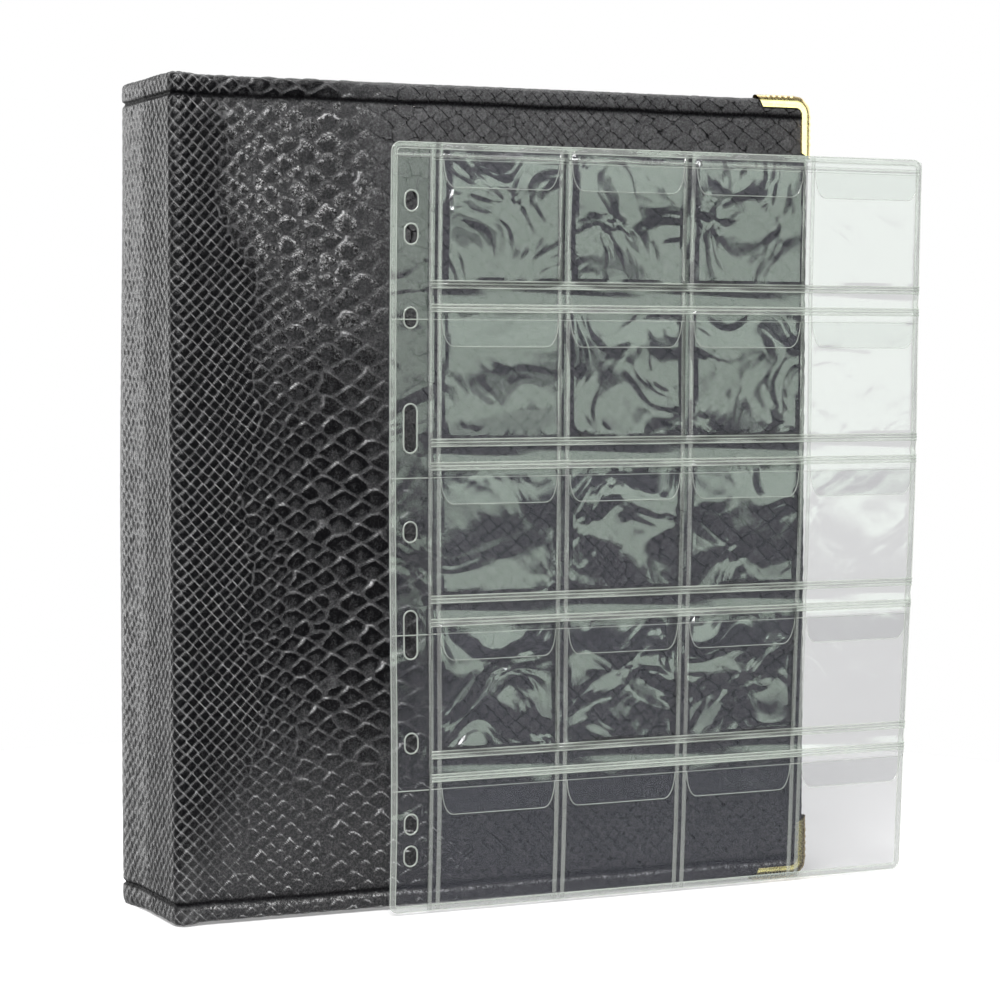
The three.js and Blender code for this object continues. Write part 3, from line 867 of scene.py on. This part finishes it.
def line(a0, b0, a1, b1, step=2.0):
    """A straight path across the page, as places across and up it."""
    count = max(int(math.hypot(a1 - a0, b1 - b0) / step), 2)
    return np.linspace(a0, a1, count), np.linspace(b0, b1, count)


def hole_outline(centre, half, grow=0.0, count=12):
    """Points round a punched hole, or a ring round it grown outwards, starting at its right."""
    radius, straight = HOLE_RADIUS + grow, half - HOLE_RADIUS
    angles = np.linspace(0, math.pi, count)
    across, up = radius * np.cos(angles), straight + radius * np.sin(angles)
    upper = np.stack([HOLE_X + across, centre + up])
    lower = np.stack([HOLE_X - across, centre - up])
    return np.concatenate([upper, lower], axis=1)


def holed_part(centre, half, low, high, layer):
    """The margin between two heights as a fan of quads round a hole."""
    ring = hole_outline(centre, half)
    middle = np.array([[HOLE_X], [centre]])
    away = ring - middle
    room = np.where(away[0] > 0, MARGIN + LAP - HOLE_X, HOLE_X)
    scale_a = room / np.maximum(np.abs(away[0]), 1e-6)
    scale_b = (high - centre) / np.maximum(np.abs(away[1]), 1e-6)
    outer = middle + away * np.minimum(scale_a, scale_b)
    for corner_a in (0.0, MARGIN + LAP):
        for corner_b in (low, high):
            gap = np.hypot(outer[0] - corner_a, outer[1] - corner_b)
            outer[:, np.argmin(gap)] = (corner_a, corner_b)
    share = np.linspace(0, 1, 4)[:, None, None]
    rings = ring[None] + (outer - ring)[None] * share
    rings = np.concatenate([rings, rings[:, :, :1]], axis=2)
    points = layer(rings[:, 0].ravel(), rings[:, 1].ravel())
    return points, grid_faces(4, rings.shape[2], True)


def margin_edge(height, inwards):
    """A plain part's lower or upper edge, drawn in at the round corners of the page's own foot
    and head; inwards is 1 or -1."""
    at_end = height in (0.0, PAGE_TALL)
    return lambda a: height + inwards * at_end * rounded(a, 0, 2 * PAGE_WIDE, PAGE_RADIUS)


def margin_parts(layer):
    """The punched margin: a part round each hole, and plain parts between them."""
    parts, edges = [], [0.0]
    for centre, half in sorted(HOLES):
        low, high = centre - half - 1.6, centre + half + 1.6
        parts.append(holed_part(centre, half, low, high, layer))
        edges += [low, high]
    edges.append(PAGE_TALL)
    for low, high in zip(edges[::2], edges[1::2]):
        if high - low > 0.2:
            edge_pair = margin_edge(low, 1), margin_edge(high, -1)
            parts.append(panel(0, MARGIN + LAP, *edge_pair, layer))
    return parts


def page_outline(inset, count=10):
    """A closed path round the page's edge, with its round corners."""
    radius = PAGE_RADIUS - min(inset, PAGE_RADIUS - 0.6)
    near, right, top = inset + radius, PAGE_WIDE - inset - radius, PAGE_TALL - inset - radius
    arcs = []
    for a, b, start in ((right, near, -90), (right, top, 0), (near, top, 90), (near, near, 180)):
        turn = np.radians(start + np.linspace(0, 90, count))
        arcs.append(np.stack([a + radius * np.cos(turn), b + radius * np.sin(turn)], axis=1))
    path = []
    for arc, following in zip(arcs, arcs[1:] + arcs[:1]):
        reach = following[0] - arc[-1]
        steps = np.linspace(0, 1, int(np.hypot(*reach) / 2))[1:-1, None]
        path += [arc, arc[-1] + reach * steps]
    path = np.concatenate(path)
    return path[:, 0], path[:, 1]


def tongue_edge(a, x0, x1, mouth):
    """The lower edge of a tongue: straight, with long round corners up to the mouth's welds."""
    near = np.clip(TONGUE_SIDE - np.minimum(a - x0, x1 - a), 0, TONGUE_SIDE) / TONGUE_SIDE
    return mouth - TONGUE_DROP * np.sqrt(np.maximum(1 - near**2.2, 0))


def sheet_corner(a):
    """How far the round corners on the right draw in the page's foot and head."""
    return rounded(a, -400, PAGE_WIDE, PAGE_RADIUS)


def back_film():
    """The film behind the pockets, with the punched margin."""
    head = lambda a: PAGE_TALL - sheet_corner(a)
    sheet = panel(MARGIN + LAP, PAGE_WIDE, sheet_corner, head, back_layer)
    made = joined("loose_back_film", [sheet] + margin_parts(back_layer), FILM)
    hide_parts("loose_page_back_film")


def row_films(number, mouth):
    """A row's pocket film, and its flap film with a tongue hanging in front of each pocket.
    Gives the fine beads along the tongues' edges."""
    if number == 1:
        foot = lambda a: 0.3 + sheet_corner(a)
    else:
        foot = constant(mouth - ROW_PITCH + FLAP_TOP)
    sheet = panel(MARGIN, PAGE_WIDE - 0.2, foot, constant(mouth), pocket_layer)
    made = joined(f"loose_pocket_film_{number}", [sheet], FILM)
    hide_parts(f"loose_page_pocket_film_{number}")
    parts, beads = [], []
    for column in range(4):
        x0 = MARGIN + WELD_PAIR + column * COLUMN_PITCH + 0.9
        x1 = x0 + COLUMN_PITCH - WELD_PAIR - 1.8
        edge = lambda a: tongue_edge(a, x0, x1, mouth)
        parts.append(panel(x0, x1, edge, constant(mouth + 0.6), flap_layer, 1.0))
        run = x0 + (x1 - x0) * (0.5 - 0.5 * np.cos(np.linspace(0, math.pi, 70)))
        beads.append(bead(run, edge(run), flap_layer, 0.15, 0.15))
    foot, head = constant(mouth + 0.4), constant(min(mouth + FLAP_TOP, PAGE_TALL - 1))
    parts.append(panel(MARGIN, PAGE_WIDE, foot, head, flap_layer, 1.2))
    made = joined(f"loose_flap_{number}", parts, FILM)
    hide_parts(f"loose_page_flap_{number}")
    return beads


def weld_bands():
    """The wide pale welds: a pair beside each column, one round the page, one along its head,
    and two between each pair of rows."""
    bands = []
    for column in range(4):
        for extra in (0.0, WELD_PAIR):
            x = MARGIN + column * COLUMN_PITCH + extra
            bands.append(band(line(x, 0.6, x, PAGE_TALL - 0.6), 0.8, flat_layer(0.5)))
    bands.append(bead(*page_outline(1.2), flat_layer(0.5), 1.0, 0.2, 6, closed=True))
    head = PAGE_TALL - 4.3
    bands.append(band(line(1, head, PAGE_WIDE - 1, head), 0.7, flat_layer(0.54)))
    for mouth in MOUTHS[:4]:
        for b in (mouth + LOW_WELD, mouth + HIGH_WELD):
            bands.append(band(line(MARGIN, b, PAGE_WIDE, b), 1.25, flat_layer(0.54), 3))
    return bands


def weld_lines():
    """The fine bright lines: round the page, along the welds between rows, along the pockets'
    mouths, and round the punched holes."""
    lines = []
    for inset in (0.25, 2.2):
        path = page_outline(inset)
        lines.append(bead(*path, flat_layer(0.5), 0.2, 0.2, 6, closed=True))
    for mouth in MOUTHS[:4]:
        for up in (LOW_WELD, HIGH_WELD):
            for b in (mouth + up - 1.15, mouth + up + 0.1, mouth + up + 1.15):
                lines.append(bead(*line(MARGIN, b, PAGE_WIDE, b), flat_layer(0.7), 0.24, 0.16))
        lines.append(bead(*line(0.6, mouth, HOLE_X + 6, mouth), flat_layer(0.5), 0.2, 0.18))
    for mouth in MOUTHS:
        path = line(MARGIN, mouth, PAGE_WIDE, mouth, 1.2)
        lines.append(bead(*path, pocket_layer, 0.16, 0.18))
    for centre, half in HOLES:
        ring = hole_outline(centre, half, 0.35)
        keep = np.hypot(*(ring - np.roll(ring, 1, axis=1))) > 1e-3
        path = ring[0][keep], ring[1][keep]
        lines.append(bead(*path, back_layer, 0.3, 0.24, closed=True))
    return lines


back_film()
tongue_beads = []
for number, mouth in enumerate(MOUTHS, 1):
    tongue_beads += row_films(number, mouth)
joined("loose_weld_bands", weld_bands(), WELD)
joined("loose_weld_lines", tongue_beads + weld_lines(), EDGE_LINE)

# ---- light and floor --------------------------------------------------------------------------


def world_light():
    """A white backdrop to the camera, and a dim light from the far side to everything else."""
    world = bpy.data.worlds.new("studio")
    scene.world = world
    world.use_nodes = True
    n = Nodes(world.node_tree)
    direction = n.add("ShaderNodeTexCoord").outputs["Generated"]
    y = n.add("ShaderNodeSeparateXYZ", {0: direction}).outputs["Y"]
    dim = n.ramp(y, -0.35, 0.85, 0.035, 0.65)
    seen = n.add("ShaderNodeLightPath").outputs["Is Camera Ray"]
    strength = n.ramp(seen, 0.0, 1.0, dim, 1.0)
    background = n.add("ShaderNodeBackground", {0: (1, 1, 1, 1), 1: strength})
    output = n.add("ShaderNodeOutputWorld")
    n.tree.links.new(background.outputs[0], output.inputs[0])


def softbox(name, at, towards, size, power):
    """A rectangular light, in metres and watts, that the camera doesn't see."""
    light = bpy.data.lights.new(name, "AREA")
    light.shape = "RECTANGLE"
    light.size, light.size_y = size
    light.energy = power
    made = bpy.data.objects.new(name, light)
    scene.collection.objects.link(made)
    made.location = at
    made.visible_camera = False
    made.rotation_euler = (Vector(towards) - Vector(at)).to_track_quat("-Z", "Y").to_euler()
    return made


def light_only(light, beginnings):
    """A light that falls only on the pieces whose names begin in one of these ways."""
    lit = bpy.data.collections.new(light.name + "_falls_on")
    for made in scene.objects:
        if made.name.startswith(beginnings):
            lit.objects.link(made)
    light.light_linking.receiver_collection = lit


def floor():
    """The white table, left out of reflections."""
    bpy.ops.mesh.primitive_circle_add(vertices=96, radius=0.34, fill_type="NGON")
    made = bpy.context.object
    made.name = "floor"
    made.location = (0.02, 0.06, -0.0006)
    made.visible_glossy = False
    made.data.materials.append(floor_material())


world_light()
floor()
window = softbox(
    "film_window", at=(0.66, -1.5, 0.6), towards=(0.05, 0, 0.6), size=(1.4, 1.25), power=11.5
)
shoulder = softbox(
    "film_window_edge", at=(0.66, -1.52, 0.62), towards=(0.05, 0, 0.62), size=(1.9, 1.4), power=7
)
glow = softbox(
    "brass_glow", at=(1.2, 0.3, 0.5), towards=(0.11, -0.05, 0.2), size=(1.2, 1.0), power=4.5
)
light_only(glow, ("front_cover_corner", "back_cover_corner"))
for light in (window, shoulder):
    light.data.color = (0.82, 1.0, 0.82)
    light_only(light, ("loose_", "front_cover_corner", "back_cover_corner", "ring_"))
softbox("above", at=(-0.5, -1.0, 1.0), towards=(0, 0, 0.14), size=(0.8, 0.5), power=28)
softbox("overhead", at=(0.1, 0.3, 1.4), towards=(0, 0, 0.0), size=(1.2, 1.2), power=10)
softbox("behind", at=(-0.62, 1.1, 0.28), towards=(-0.11, 0, 0.14), size=(0.42, 1.0), power=4.1)
scene.view_settings.view_transform = "Standard"
scene.cycles.transparent_max_bounces = 48
scene.cycles.max_bounces = 8
